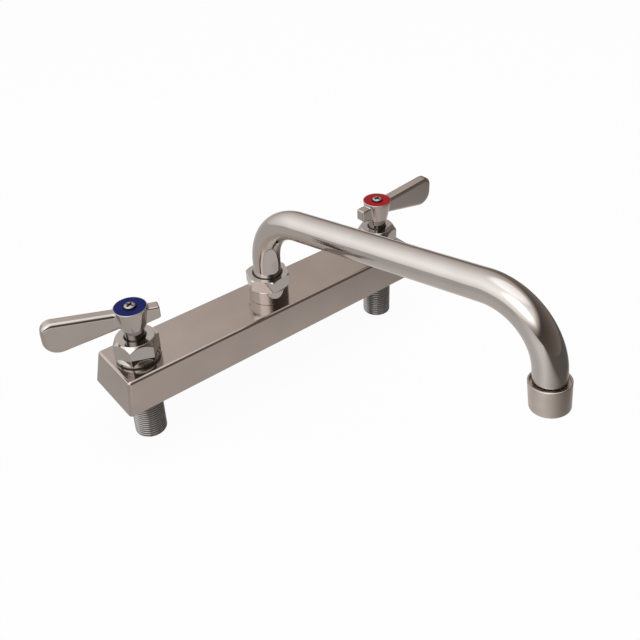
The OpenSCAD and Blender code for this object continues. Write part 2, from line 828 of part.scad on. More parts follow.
module outlet_adapter() {
    color("goldenrod") at_outlet() ring(solder_r, adapter_r, -washer_z, adapter_l);
}

module aerator_washer() {
    color("#1a1a1a") at_outlet() ring(washer_in_r, adapter_r, -screen_z, washer_t);
}

// The wire screen: a flat rim under the washer and a shallow cone in the washer's hole
module aerator_screen() {
    color("gray") at_outlet() translate([0, 0, -screen_z]) rotate_extrude() polygon([
        [0, screen_rise - screen_t], [screen_cone_r, -screen_t], [insert_r, -screen_t],
        [insert_r, 0], [screen_cone_r, 0], [0, screen_rise]
    ]);
}

// The plastic insert: a cup whose floor has two rings of slots
module aerator_insert() {
    foot = -insert_top - insert_h;
    color("white") at_outlet() difference() {
        rod(insert_r, foot, insert_h);
        bore(insert_r - insert_plate_t, foot + insert_plate_t, insert_h - insert_plate_t);
        for (share = insert_slot_shares, i = [0 : insert_slots - 1])
            rotate([0, 0, i * 360 / insert_slots])
                translate([insert_r * share - insert_slot_l / 2, -insert_slot_w / 2, foot - overrun])
                    cube([insert_slot_l, insert_slot_w, insert_plate_t + 2 * overrun]);
    }
}

module aerator_shell() {
    color("silver") at_outlet() difference() {
        rotate_extrude() polygon([
            [0, 0], [shell_top_r - shell_edge, 0], [shell_top_r, -shell_edge],
            [shell_mouth_r, shell_edge - shell_h], [shell_mouth_r - shell_edge, -shell_h], [0, -shell_h]
        ]);
        bore(shell_thread_r, -screen_z, screen_z);
        rod(shell_cup_r, shell_lip_t - shell_h, shell_h - screen_z);
        rod(shell_lip_r, -shell_h - overrun, shell_h);
    }
}

body();
deck_gasket();
at_cold() shank();  // cold_shank
at_hot() shank();  // hot_shank
at_cold() bonnet_washer();  // cold_bonnet_washer
at_cold() bonnet_nut(cold_bonnet_turn);  // cold_bonnet_nut
at_cold() cartridge_housing();  // cold_cartridge_housing
at_cold() housing_oring();  // cold_housing_oring
at_cold() seat_seal();  // cold_seat_seal
at_cold() fixed_disc();  // cold_fixed_disc
at_cold() turning_disc();  // cold_turning_disc
at_cold() stem();  // cold_stem
at_cold() stem_orings();  // cold_stem_orings
at_cold() stem_clip();  // cold_stem_clip
along_cold_lever() handle();  // cold_handle
at_cold() color("navy") index_disc();  // cold_index_disc
at_cold() handle_screw();  // cold_handle_screw
at_hot() bonnet_washer();  // hot_bonnet_washer
at_hot() bonnet_nut(hot_bonnet_turn);  // hot_bonnet_nut
at_hot() cartridge_housing();  // hot_cartridge_housing
at_hot() housing_oring();  // hot_housing_oring
at_hot() seat_seal();  // hot_seat_seal
at_hot() fixed_disc();  // hot_fixed_disc
at_hot() rotate([0, 0, hot_stem_turn]) turning_disc();  // hot_turning_disc
at_hot() rotate([0, 0, hot_stem_turn]) stem();  // hot_stem
at_hot() stem_orings();  // hot_stem_orings
at_hot() stem_clip();  // hot_stem_clip
along_hot_lever() handle();  // hot_handle
at_hot() color("crimson") index_disc();  // hot_index_disc
at_hot() handle_screw();  // hot_handle_screw
spout_socket();
spout_nut();
spout_bushing();
spout_ferrule();
spout_orings();
spout_tube();
outlet_adapter();
aerator_washer();
aerator_screen();
aerator_insert();
aerator_shell();
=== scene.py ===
"""Dresses the packed model of a deck-mount faucet: a finish for every part, finer meshes for the parts
whose threads, edges and blends show, and a plain pale studio round them.

Sizes inside the geometry are in millimetres, in the frame of the packed model: +X runs along the body
from the cold valve to the hot one, -Y is the user's side and +Z is up from the deck.
"""

import json
import math

import bmesh
import bpy
import numpy as np
from bpy.props import FloatProperty, FloatVectorProperty, PointerProperty
from mathutils import Matrix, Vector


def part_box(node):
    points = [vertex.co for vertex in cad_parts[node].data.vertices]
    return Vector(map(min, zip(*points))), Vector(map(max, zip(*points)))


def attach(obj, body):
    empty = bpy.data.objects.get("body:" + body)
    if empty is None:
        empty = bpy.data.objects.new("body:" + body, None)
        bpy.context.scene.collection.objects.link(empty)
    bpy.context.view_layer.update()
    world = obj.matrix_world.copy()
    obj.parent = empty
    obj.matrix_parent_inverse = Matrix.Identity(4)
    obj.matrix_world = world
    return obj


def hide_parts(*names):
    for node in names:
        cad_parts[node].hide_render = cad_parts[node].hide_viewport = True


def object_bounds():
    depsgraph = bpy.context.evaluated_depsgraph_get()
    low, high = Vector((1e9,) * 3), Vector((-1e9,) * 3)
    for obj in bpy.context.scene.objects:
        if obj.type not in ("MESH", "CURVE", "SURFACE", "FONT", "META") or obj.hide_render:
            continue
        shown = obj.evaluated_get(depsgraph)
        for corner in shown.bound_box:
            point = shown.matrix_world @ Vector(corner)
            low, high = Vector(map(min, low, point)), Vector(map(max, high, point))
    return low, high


bl_info = {
    "name": "Deck-Mount Faucet",
    "version": (1, 0, 0),
    "blender": (4, 5, 0),
    "location": "View3D > Sidebar > Faucet",
    "description": "Finishes, fine meshes and a studio for a deck-mount faucet",
    "category": "Object",
}

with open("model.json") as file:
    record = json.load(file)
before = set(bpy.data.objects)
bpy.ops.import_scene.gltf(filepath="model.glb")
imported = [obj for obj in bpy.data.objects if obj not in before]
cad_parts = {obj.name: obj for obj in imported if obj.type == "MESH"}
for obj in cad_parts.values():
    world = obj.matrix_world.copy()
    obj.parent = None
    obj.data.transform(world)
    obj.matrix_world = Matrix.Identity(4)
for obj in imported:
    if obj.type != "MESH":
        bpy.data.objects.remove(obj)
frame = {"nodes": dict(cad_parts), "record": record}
CAD_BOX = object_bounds()

MM = 0.001
TURN = 2 * math.pi
BODY_OF = {node: body for body, nodes in frame["record"]["behaviour"]["bodies"].items() for node in nodes}


# ---------------------------------------------------------------- sizes and colours


def length(name, description, default):
    """A size in metres, given here in millimetres."""
    return FloatProperty(name=name, description=description, default=default * MM, min=0.0, unit="LENGTH",
                         precision=5)


def degrees(name, description, default):
    """An angle, given here in degrees."""
    return FloatProperty(name=name, description=description, default=math.radians(default),
                         unit="ROTATION")


def colour(name, description, default):
    """A colour in linear red, green and blue."""
    return FloatVectorProperty(name=name, description=description, default=default, size=3, min=0.0,
                               max=1.0, subtype="COLOR")


class FaucetShankSizes(bpy.types.PropertyGroup):
    """The two threaded inlet shanks."""

    radius: length("Radius", "Radius over the crests of the thread", 10.45)
    bore: length("Bore", "Radius of the bore", 7.6)
    drop: length("Drop", "Length of thread below the deck", 38.7)
    grip: length("Grip", "Length of plain spigot in the body", 8.3)
    spigot: length("Spigot", "Radius of that spigot", 9.45)
    pitch: length("Pitch", "Pitch of the thread", 1.814)
    depth: length("Thread depth", "Depth of the thread", 1.05)
    lead_in: length("Lead-in", "Chamfer on the lower end", 0.9)


class FaucetNutSizes(bpy.types.PropertyGroup):
    """The bonnet nuts over the valves and the nut under the spout."""

    corner: length("Corner", "Softening of a nut's upright corners", 0.18)
    edge: length("Edge", "Softening where a nut's turned faces cross its flats", 0.12)
    cold_turn: degrees("Cold nut", "Turn of the cold bonnet nut", -12.0)
    hot_turn: degrees("Hot nut", "Turn of the hot bonnet nut", 18.0)
    spout_turn: degrees("Spout nut", "Turn of the spout nut", 9.0)


class FaucetHandleSizes(bpy.types.PropertyGroup):
    """The two lever handles."""

    reach: length("Reach", "Distance from the valve's axis to the lever's tip", 53.6)
    thickness: length("Thickness", "Thickness of the lever", 8.6)
    lever_edge: length("Lever edge", "Radius of the lever's edges", 2.7)
    tail_edge: length("Tail edge", "Radius of the tail's edges", 1.2)
    blend: length("Blend", "Size of the fillet between hub, lever and tail", 1.2)
    cell: length("Cell", "Size of the mesh's cells", 0.32)
    cold_turn: degrees("Cold handle", "Direction of the cold lever", 162.0)
    hot_turn: degrees("Hot handle", "Direction of the hot lever", 1.0)


class FaucetSpoutSizes(bpy.types.PropertyGroup):
    """The spout's tube and its aerator."""

    tube_radius: length("Tube radius", "Outside radius of the tube", 9.525)
    tube_wall: length("Tube wall", "Wall of the tube", 1.2)
    bend: length("Bend", "Radius of the tube's centre line in a bend", 38.1)
    run: length("Run", "Straight run between the bends", 141.5)
    riser: length("Riser", "Straight length of riser above the spout nut", 10.6)
    outlet: length("Outlet", "Straight length between the second bend and the aerator", 6.9)
    inset: length("Inset", "Depth of the tube's end in the aerator", 9.0)
    slope: degrees("Slope", "Upward slope of the run", 7.5)
    tilt: degrees("Tilt", "Outward tilt of the outlet", 7.0)
    swing: degrees("Swing", "Direction of the spout", -82.5)
    ripple: length("Ripple", "Depth of the faint ripples that polishing leaves in the tube", 0.018)


class FaucetColours(bpy.types.PropertyGroup):
    """The colours of the finishes."""

    steel: colour("Steel", "Polished stainless body", (0.395, 0.345, 0.315))
    handles: colour("Handles", "Polished handle castings", (0.415, 0.375, 0.350))
    plated: colour("Nuts", "Mirror polish of the nuts and the socket", (0.465, 0.432, 0.408))
    tube: colour("Tube", "Polished tube", (0.475, 0.442, 0.418))
    satin: colour("Satin", "Satin aerator shell", (0.47, 0.42, 0.385))
    # The necks' nickel colour is darkened as painted shade, for the shade they stand in under the hubs.
    neck: colour("Neck", "Polished nickel of the valve necks", (0.24, 0.222, 0.208))
    # The shanks' colour is darker than the body steel: partly machined steel, partly painted shade for
    # the shade under the body.
    thread: colour("Thread", "Machined shanks", (0.29, 0.275, 0.265))
    screw: colour("Screw", "Handle screws", (0.40, 0.37, 0.36))
    blue: colour("Cold", "Index disc of the cold valve", (0.006, 0.012, 0.105))
    red: colour("Hot", "Index disc of the hot valve", (0.36, 0.008, 0.014))
    brass: colour("Brass", "Brass inner parts", (0.62, 0.47, 0.20))
    ceramic: colour("Ceramic", "Ceramic discs", (0.86, 0.84, 0.80))
    rubber: colour("Rubber", "Seals and gaskets", (0.012, 0.012, 0.012))
    plastic: colour("Plastic", "White aerator insert", (0.80, 0.80, 0.78))


class FaucetStudio(bpy.types.PropertyGroup):
    """The floor and the lamps."""

    floor: colour("Floor", "Colour of the floor", (0.90, 0.90, 0.90))
    ambient: FloatProperty(name="Ambient", description="Strength of the world on the object",
                           default=0.55, min=0.0)
    lamps: FloatProperty(name="Lamps", description="Factor on all the lamps", default=1.0, min=0.0)


# ---------------------------------------------------------------- geometry, in millimetres


def mm(size):
    """A property's size in millimetres."""
    return size / MM


def fillet(points, radii, steps=6, closed=True):
    """A flat outline with its corners rounded: one radius for each point, 0 for a sharp corner."""
    points = [np.array(p, float) for p in points]
    count = len(points)
    outline = []
    for i, (corner, radius) in enumerate(zip(points, radii)):
        inner = closed or 0 < i < count - 1
        if not radius or not inner:
            outline.append(corner)
            continue
        before = points[i - 1] - corner
        after = points[(i + 1) % count] - corner
        before, after = before / np.linalg.norm(before), after / np.linalg.norm(after)
        half = math.acos(np.clip(before @ after, -1, 1)) / 2
        reach = radius / math.tan(half)
        centre = corner + (before + after) / np.linalg.norm(before + after) * radius / math.sin(half)
        start, end = corner + before * reach, corner + after * reach
        for k in range(steps + 1):
            t = k / steps
            arm = (1 - t) * (start - centre) + t * (end - centre)
            outline.append(centre + arm / np.linalg.norm(arm) * radius)
    return np.array(outline)


def held(outline, margin=0.12, closed=True):
    """The same outline with extra points just inside each long straight, which keep its shading flat."""
    count = len(outline)
    points = []
    for i in range(count if closed else count - 1):
        a, b = outline[i], outline[(i + 1) % count]
        points.append(a)
        span = np.linalg.norm(b - a)
        if span > 5 * margin:
            points += [a + (b - a) * margin / span, b + (a - b) * margin / span]
    if not closed:
        points.append(outline[-1])
    return np.array(points)


def levels(node):
    """Heights of a CAD node's lowest and highest points."""
    return [mm(corner.z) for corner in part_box(node)]


def soft_min(a, b, blend):
    """The smaller of two lengths, with their crossing rounded."""
    h = np.clip(0.5 + 0.5 * (b - a) / blend, 0, 1)
    return b + (a - b) * h - blend * h * (1 - h)


def angles(count):
    """Even directions all round, in radians."""
    return np.arange(count) * TURN / count


def turned(radius, direction, height):
    """Points round the Z axis: a radius and a height in each direction."""
    radius, direction, height = np.broadcast_arrays(radius, direction, height)
    return np.stack([radius * np.cos(direction), radius * np.sin(direction), height], -1)


def rings(profile, around):
    """A grid of points from a profile of (radius, height) turned round the Z axis."""
    return turned(profile[:, :1], angles(around), profile[:, 1:])


class Shell:
    """The points, faces and surface coordinates of one piece, in millimetres, built up grid by grid."""

    def __init__(self):
        self.points = []
        self.faces = []
        self.coords = []
        self.count = 0

    def grid(self, points, around=False, ends=False):
        """Joins the neighbouring points of a (rows, columns, 3) grid. With around, the last column joins
        the first, and with ends, the last row does."""
        rows, columns = points.shape[:2]
        i, j = np.meshgrid(np.arange(rows if ends else rows - 1),
                           np.arange(columns if around else columns - 1), indexing="ij")
        i, j = i.ravel(), j.ravel()
        down, right = (i + 1) % rows, (j + 1) % columns
        corners = np.stack([i * columns + j, i * columns + right, down * columns + right,
                            down * columns + j], -1)
        across = np.linalg.norm(np.roll(points, -1, 1) - points, axis=2).mean(0)
        along = np.linalg.norm(np.roll(points, -1, 0) - points, axis=2).max(1)
        u = np.concatenate([[0], np.cumsum(across)])
        v = np.concatenate([[0], np.cumsum(along)])
        coords = np.stack([np.stack([u[j + a], v[i + b]], -1)
                           for a, b in ((0, 0), (1, 0), (1, 1), (0, 1))], 1)
        self.points.append(points.reshape(-1, 3))
        self.faces.append(corners + self.count)
        self.coords.append(coords.reshape(-1, 2))
        self.count += rows * columns
        return self

    def lathe(self, outline, around):
        """Turns a closed outline of (radius, height) round the Z axis."""
        return self.grid(rings(outline, around), around=True, ends=True)

    def quads(self, points, faces):
        """Adds a ready mesh of four-sided faces."""
        self.points.append(points)
        self.faces.append(faces + self.count)
        self.coords.append(points[faces.ravel()][:, :2])
        self.count += len(points)
        return self

    def moved(self, matrix):
        """Turns and moves everything in the shell."""
        m = np.array(matrix)
        self.points = [p @ m[:3, :3].T + m[:3, 3] for p in self.points]
        return self


def add_object(name, data):
    """Puts a new object with a mesh, a lamp or a camera in the scene."""
    item = bpy.data.objects.new(name, data)
    bpy.context.scene.collection.objects.link(item)
    return item


def add_piece(name, shell, node, finish, sharp=40.0):
    """Makes an object of a shell, gives it its finish, and lets it ride and stand for its CAD node."""
    mesh = bpy.data.meshes.new(name)
    mesh.from_pydata((np.concatenate(shell.points) * MM).tolist(), [],
                     np.concatenate(shell.faces).tolist())
    layer = mesh.uv_layers.new(name="surface")
    layer.data.foreach_set("uv", np.concatenate(shell.coords).astype(np.float32).ravel())
    work = bmesh.new()
    work.from_mesh(mesh)
    bmesh.ops.remove_doubles(work, verts=work.verts, dist=0.002 * MM)
    bmesh.ops.dissolve_degenerate(work, edges=work.edges, dist=0.001 * MM)
    bmesh.ops.recalc_face_normals(work, faces=work.faces)
    open_edges = sum(not edge.is_manifold for edge in work.edges)
    work.to_mesh(mesh)
    work.free()
    if open_edges:
        raise RuntimeError(f"{name} has {open_edges} open edges")
    mesh.shade_smooth()
    mesh.set_sharp_from_angle(angle=math.radians(sharp))
    mesh.materials.append(finish)
    piece = add_object(name, mesh)
    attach(piece, BODY_OF[node])
    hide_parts(node)


def dress(node, finish):
    """Gives a CAD node that stays its finish."""
    part = frame["nodes"][node]
    for slot in part.material_slots:
        slot.link = "OBJECT"
        slot.material = finish


def at_valve(side, turn=0.0):
    """A turn about Z and then a move to a valve's axis, which is measured on its packed shank."""
    low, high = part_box(f"{side}_shank")
    return Matrix.Translation((mm(low.x + high.x) / 2, 0, 0)) @ Matrix.Rotation(turn, 4, "Z")


def tint(name):
    """One of the finishes' colours, as plain numbers."""
    return tuple(getattr(bpy.context.scene.faucet_colours, name))


# Distances to solid forms, negative inside, and the surface where such a distance is 0.


def outline_distance(u, v, outline):
    """Distance in a plane to a closed outline."""
    nearest = np.full(np.broadcast(u, v).shape, 1e9)
    inside = np.zeros(nearest.shape, bool)
    for (ax, ay), (bx, by) in zip(outline, np.roll(outline, -1, 0)):
        ex, ey = bx - ax, by - ay
        wx, wy = u - ax, v - ay
        t = np.clip((wx * ex + wy * ey) / (ex * ex + ey * ey), 0, 1)
        nearest = np.minimum(nearest, (wx - ex * t) ** 2 + (wy - ey * t) ** 2)
        crosses = (ay > v) != (by > v)
        slope = ex / ey if ey else 0.0
        inside ^= crosses & (u < ax + (v - ay) * slope)
    return np.where(inside, -1, 1) * np.sqrt(nearest)


def plate_distance(flat, across, thickness, edge):
    """Distance to a flat form of a given thickness, with all its edges rounded."""
    a = flat + edge
    b = np.abs(across) - thickness / 2 + edge
    return np.minimum(np.maximum(a, b), 0) + np.hypot(np.maximum(a, 0), np.maximum(b, 0)) - edge


def surface_net(distance, low, high, cell):
    """Points and four-sided faces of the surface where distance is 0, on a cubic grid."""
    x, y, z = (np.arange(low[k], high[k] + cell, cell) for k in range(3))
    field = np.broadcast_to(distance(x[:, None, None], y[None, :, None], z[None, None, :]),
                            (len(x), len(y), len(z)))
    shape = tuple(n - 1 for n in field.shape)
    total, hits = np.zeros(shape + (3,)), np.zeros(shape)
    crossings = []
    for axis in range(3):
        ahead = [slice(None)] * 3
        behind = [slice(None)] * 3
        ahead[axis], behind[axis] = slice(1, None), slice(None, -1)
        a, b = field[tuple(behind)], field[tuple(ahead)]
        i = np.argwhere((a < 0) != (b < 0))
        da, db = a[tuple(i.T)], b[tuple(i.T)]
        place = i.astype(float)
        place[:, axis] += da / (da - db)
        others = [k for k in range(3) if k != axis]
        keep = np.all([(i[:, k] > 0) & (i[:, k] < shape[k]) for k in others], 0)
        i, place, starts = i[keep], place[keep], (da < 0)[keep]
        cells = []
        for back in ((1, 1), (0, 1), (0, 0), (1, 0)):
            c = i.copy()
            c[:, others[0]] -= back[0]
            c[:, others[1]] -= back[1]
            np.add.at(total, tuple(c.T), place)
            np.add.at(hits, tuple(c.T), 1)
            cells.append(c)
        crossings.append((cells, starts if axis != 1 else ~starts))
    number = np.cumsum(hits.ravel() > 0).reshape(shape) - 1
    points = total[hits > 0] / hits[hits > 0][:, None] * cell + np.array(low)
    faces = []
    for cells, flip in crossings:
        quad = np.stack([number[tuple(c.T)] for c in cells], -1)
        faces.append(np.where(flip[:, None], quad, quad[:, ::-1]))
    step = cell * 0.01
    for _ in range(3):
        d = distance(*points.T)
        slope = np.stack([distance(*(points + step * np.eye(3)[k]).T) - d for k in range(3)], -1) / step
        points = points - slope * (d / np.maximum((slope ** 2).sum(1), 0.25))[:, None]
    return points, np.concatenate(faces)


# ---------------------------------------------------------------- finishes


class Value:
    """A number that varies over a surface. Arithmetic on it adds Math nodes to its finish."""

    def __init__(self, finish, socket):
        self.finish = finish
        self.socket = socket

    def __add__(self, other):
        return self.finish.math("ADD", self, other)

    __radd__ = __add__

    def __sub__(self, other):
        return self.finish.math("SUBTRACT", self, other)

    def __rsub__(self, other):
        return self.finish.math("SUBTRACT", other, self)

    def __mul__(self, other):
        return self.finish.math("MULTIPLY", self, other)

    __rmul__ = __mul__


class Finish:
    """The node tree of one material or of the world, with a shader at its end."""

    def __init__(self, name, owner=None):
        self.owner = owner or bpy.data.materials.new(name)
        self.owner.use_nodes = True
        self.tree = self.owner.node_tree
        self.tree.nodes.clear()

    def node(self, kind, settings=None, inputs=None):
        """Adds a node: its settings first, a ramp's stops among them, and then its sockets."""
        node = self.tree.nodes.new(kind)
        for name, value in (settings or {}).items():
            if name == "stops":
                for k, (place, level) in enumerate(value):
                    stop = node.color_ramp.elements[k] if k < 2 else node.color_ramp.elements.new(place)
                    stop.position = place
                    stop.color = (level, level, level, 1)
            else:
                setattr(node, name, value)
        for key, value in (inputs or {}).items():
            if isinstance(value, Value):
                value = value.socket
            if isinstance(value, bpy.types.NodeSocket):
                self.tree.links.new(value, node.inputs[key])
            elif value is not None:
                node.inputs[key].default_value = value
        return node

    def math(self, operation, *values):
        return Value(self, self.node("ShaderNodeMath", {"operation": operation},
                                     dict(enumerate(values))).outputs[0])

    def parts(self, vector):
        """The X, Y and Z of a vector."""
        return [Value(self, part) for part in self.node("ShaderNodeSeparateXYZ", {}, {0: vector}).outputs]

    def rays(self):
        """1 for what the camera sees, also through glass, and 1 for what the metal reflects."""
        path = self.node("ShaderNodeLightPath").outputs
        seen = self.math("MAXIMUM", path["Is Camera Ray"], path["Is Transmission Ray"])
        return seen, Value(self, path["Is Glossy Ray"])

    def place(self, stretch, source="Object"):
        """Object coordinates in millimetres, stretched by a factor along each axis."""
        coords = self.node("ShaderNodeTexCoord").outputs[source]
        unit = 1 / MM if source == "Object" else 1.0
        return self.node("ShaderNodeVectorMath", {"operation": "MULTIPLY"},
                         {0: coords, 1: [unit * s for s in stretch]}).outputs[0]

    def noise(self, size, stretch=(1, 1, 1), detail=2.0, rough=0.5, source="Object"):
        """Cloudy variation from 0 to 1, with features of about a size in millimetres."""
        return Value(self, self.node("ShaderNodeTexNoise", {}, {
            "Vector": self.place(stretch, source), "Scale": 1 / size, "Detail": detail,
            "Roughness": rough}).outputs[0])

    def ramp(self, value, *stops):
        return Value(self, self.node("ShaderNodeValToRGB", {"stops": stops}, {0: value}).outputs[0])

    def mix(self, factor, a, b):
        """A colour between two colours."""
        return self.node("ShaderNodeMix", {"data_type": "RGBA"}, {
            0: factor, 6: (*a, 1) if isinstance(a, tuple) else a,
            7: (*b, 1) if isinstance(b, tuple) else b}).outputs[2]

    def bump(self, height, depth, strength=1.0, under=None):
        """A normal that follows a height from 0 to 1, which stands for a depth in millimetres."""
        return self.node("ShaderNodeBump", {}, {
            "Height": height, "Distance": depth * MM, "Strength": strength, "Normal": under}).outputs[0]

    def surface(self, **sockets):
        """Closes the tree with a Principled shader; underscores in the names stand for spaces."""
        shader = self.node("ShaderNodeBsdfPrincipled", {},
                           {name.replace("_", " "): value for name, value in sockets.items()})
        self.node("ShaderNodeOutputMaterial", {}, {"Surface": shader.outputs[0]})
        return self.owner


def shade(base, factor):
    """A colour made lighter or darker."""
    return tuple(min(1.0, c * factor) for c in base)


def polished_steel(name, base, roughness, grain, grain_size=0.35, contrast=0.05, source="Object"):
    """Bright steel: clouds in its colour, wiping marks in its gloss and fine lines along its grain."""
    f = Finish(name)
    clouds = f.noise(28.0, detail=3.0)
    smears = f.noise(7.0, detail=4.0, rough=0.6)
    lines = f.noise(grain_size, stretch=grain, detail=3.0, rough=0.65, source=source)
    scratches = f.noise(grain_size * 0.5, stretch=tuple(g * 0.6 for g in grain), source=source)
    tone = f.ramp(clouds, (0.3, 0.0), (0.7, 1.0))
    gloss = roughness * 0.75 + smears * (roughness * 0.35) + lines * (roughness * 0.3)
    return f.surface(
        Base_Color=f.mix(tone, shade(base, 1 - contrast), shade(base, 1 + contrast)),
        Metallic=1.0, Roughness=gloss, IOR=2.0,
        Normal=f.bump(lines + scratches * 0.6, 0.0012 * grain_size / 0.35, 0.6,
                      f.bump(smears, 0.006, 0.5)))


def satin_steel(name, base, roughness=0.17):
    """Steel brushed round its axis: short fine lines that go round it."""
    f = Finish(name)
    clouds = f.noise(9.0, detail=3.0)
    lines = f.noise(0.22, stretch=(0.04, 1.0, 1.0), detail=4.0, rough=0.7, source="UV")
    tone = f.ramp(clouds + lines * 0.4, (0.35, 0.0), (1.0, 1.0))
    return f.surface(
        Base_Color=f.mix(tone, shade(base, 0.90), shade(base, 1.10)),
        Metallic=1.0, Roughness=roughness * 0.8 + lines * (roughness * 0.4),
        Normal=f.bump(lines, 0.004, 0.8))


def machined(name, base, roughness, pitch=0.25):
    """A turned part: fine tool lines that follow its height, and a dull film here and there."""
    f = Finish(name)
    film = f.noise(4.0, detail=4.0, rough=0.6)
    tool = f.noise(pitch, stretch=(0.05, 0.05, 1.0), detail=2.0)
    return f.surface(
        Base_Color=f.mix(f.ramp(film, (0.3, 0.0), (0.75, 1.0)), shade(base, 0.86), shade(base, 1.1)),
        Metallic=1.0, Roughness=roughness * 0.75 + film * (roughness * 0.5),
        Normal=f.bump(tool, 0.006, 0.7))


def screw_steel(name, base, recess):
    """Turned steel with painted shade in the cross recess, below a height in millimetres."""
    f = Finish(name)
    height = f.parts(f.place((1.0, 1.0, 1.0)))[2]
    # clear is 1 above the recess height and 0 deep in the recess, where the colour runs down to nearly
    # black: painted shade.
    clear = f.ramp(height - recess + 0.5, (0.38, 0.0), (0.75, 1.0))
    marks = f.noise(1.2, detail=4.0, rough=0.6)
    return f.surface(
        Base_Color=f.mix(clear * (0.75 + marks * 0.5), shade(base, 0.03), base), Metallic=1.0,
        Roughness=0.55 - clear * 0.2 + marks * 0.1, Normal=f.bump(marks, 0.02, 0.6))


def moulded(name, base, roughness, size=0.35, depth=0.01, contrast=0.12):
    """Rubber or plastic from a mould, with a fine pebbled skin."""
    f = Finish(name)
    skin = f.noise(size, detail=3.0, rough=0.6)
    clouds = f.noise(6.0, detail=3.0)
    return f.surface(
        Base_Color=f.mix(clouds, shade(base, 1 - contrast), shade(base, 1 + contrast)),
        Roughness=roughness * 0.85 + skin * (roughness * 0.3), Normal=f.bump(skin, depth, 0.6))


def enamel(name, base):
    """The glossy fill of an index disc, with a faint orange peel."""
    f = Finish(name)
    clouds = f.noise(5.0, detail=2.0)
    peel = f.noise(1.6, detail=2.0)
    return f.surface(
        Base_Color=f.mix(clouds, shade(base, 0.85), shade(base, 1.18)),
        Roughness=0.22 + peel * 0.10, Specular_IOR_Level=0.06,
        Normal=f.bump(peel, 0.01, 0.4))


def ceramic(name, base):
    """A lapped ceramic disc."""
    f = Finish(name)
    flecks = f.noise(0.5, detail=4.0, rough=0.7)
    return f.surface(
        Base_Color=f.mix(flecks, shade(base, 0.94), shade(base, 1.03)),
        Roughness=0.22 + flecks * 0.12, Normal=f.bump(flecks, 0.002, 0.5))


def woven_wire(name, base):
    """A fine mesh of wire, as a bumped grid of holes in the screen's own plane, with the holes painted
    nearly black as painted shade.
    """
    f = Finish(name)
    pitch, ways = 0.55, f.parts(f.place((1.0, 1.0, 1.0)))[:2]
    wires = [f.math("SINE", way * (TURN / pitch)) * 0.5 + 0.5 for way in ways]
    hole = wires[0] * wires[1]
    return f.surface(
        # Painted shade: the holes are coloured nearly black for the dark space behind the screen.
        Base_Color=f.mix(f.ramp(hole, (0.35, 0.0), (0.6, 1.0)), base, shade(base, 0.06)),
        Metallic=1.0, Roughness=0.35 + hole * 0.3, Normal=f.bump(1 - hole, 0.12, 0.8))


# ---------------------------------------------------------------- the pieces


class FAUCET_OT_body(bpy.types.Operator):
    """Finish the drafted body, its deck gasket and the washers under the bonnet nuts"""

    bl_idname = "faucet.body"
    bl_label = "Body and gasket"

    def execute(self, context):
        dress("body", polished_steel("Body steel", tint("steel"), roughness=0.13, grain=(0.02, 1.0, 1.0)))
        rubber = moulded("Gasket rubber", tint("rubber"), 0.55)
        for node in ("deck_gasket", "cold_bonnet_washer", "hot_bonnet_washer"):
            dress(node, rubber)
        return {"FINISHED"}


class FAUCET_OT_shanks(bpy.types.Operator):
    """Build the two threaded inlet shanks, with a real thread along their whole free length"""

    bl_idname = "faucet.shanks"
    bl_label = "Threaded shanks"

    def execute(self, context):
        s = context.scene.faucet_shanks
        radius, bore, drop = mm(s.radius), mm(s.bore), mm(s.drop)
        pitch, depth, lead = mm(s.pitch), mm(s.depth), mm(s.lead_in)
        around, per_turn, steep, groove = 96, 10, 1.35, 0.12
        turn = angles(around)
        height = np.arange(-drop, 0.0, pitch / per_turn)[:, None]
        phase = (height / pitch - turn / TURN) % 1.0
        ridge = np.clip(steep * (1 - np.abs(2 * phase - 1)) - groove, 0, 1)
        ridge = ridge * ridge * (3 - 2 * ridge)
        thread = radius - depth * (1 - ridge)
        end = radius - lead + np.clip(height + drop, 0, lead)
        flank = turned(soft_min(thread, end, 0.1), turn, height)
        rest = held(np.array([
            [mm(s.spigot), 0.0], [mm(s.spigot), mm(s.grip)], [bore, mm(s.grip)],
            [bore, 0.4 - drop], [bore + 0.4, -drop], [radius - lead - 0.3, -drop]]), closed=False)
        # The shanks' darker colour is partly painted shade, for the shade under the body.
        finish = polished_steel("Shank steel", tint("thread"), roughness=0.11, grain=(1.0, 1.0, 0.4),
                                contrast=0.08)
        for side in ("cold", "hot"):
            shell = Shell().grid(np.concatenate([flank, rings(rest, around)]), around=True, ends=True)
            add_piece(f"{side}_shank_thread", shell.moved(at_valve(side)), f"{side}_shank", finish,
                      sharp=60.0)
        return {"FINISHED"}


def hexagon(direction, across_flats, corner):
    """The radius of a hexagon in each direction, with its corners rounded."""
    faces = [across_flats / 2 / np.maximum(np.cos(direction - (k + 0.5) * TURN / 6), 0.2)
             for k in range(6)]
    radius = faces[0]
    for other in faces[1:]:
        radius = soft_min(radius, other, corner)
    return radius


def corner_angles():
    """Directions round a hexagon, closer together at its corners."""
    per_face, pull = 40, 0.72
    t = np.linspace(0, 1, per_face, endpoint=False)
    eased = t - pull * np.sin(TURN * t) / TURN
    return np.concatenate([(k + eased) * TURN / 6 for k in range(6)])


def turned_hexagon(outline, across_flats, turn, corner, edge, round_below=0.0, flange=0.0):
    """A grid for a nut: an outline of (radius, height) cut to a hexagon, but nowhere inside a flange, and
    left round where its radius is small."""
    direction = corner_angles()
    flats = hexagon(direction, across_flats, corner)
    return np.array([
        turned(radius if radius < round_below else np.maximum(soft_min(radius, flats, edge), flange),
               direction + turn, height) for radius, height in outline])


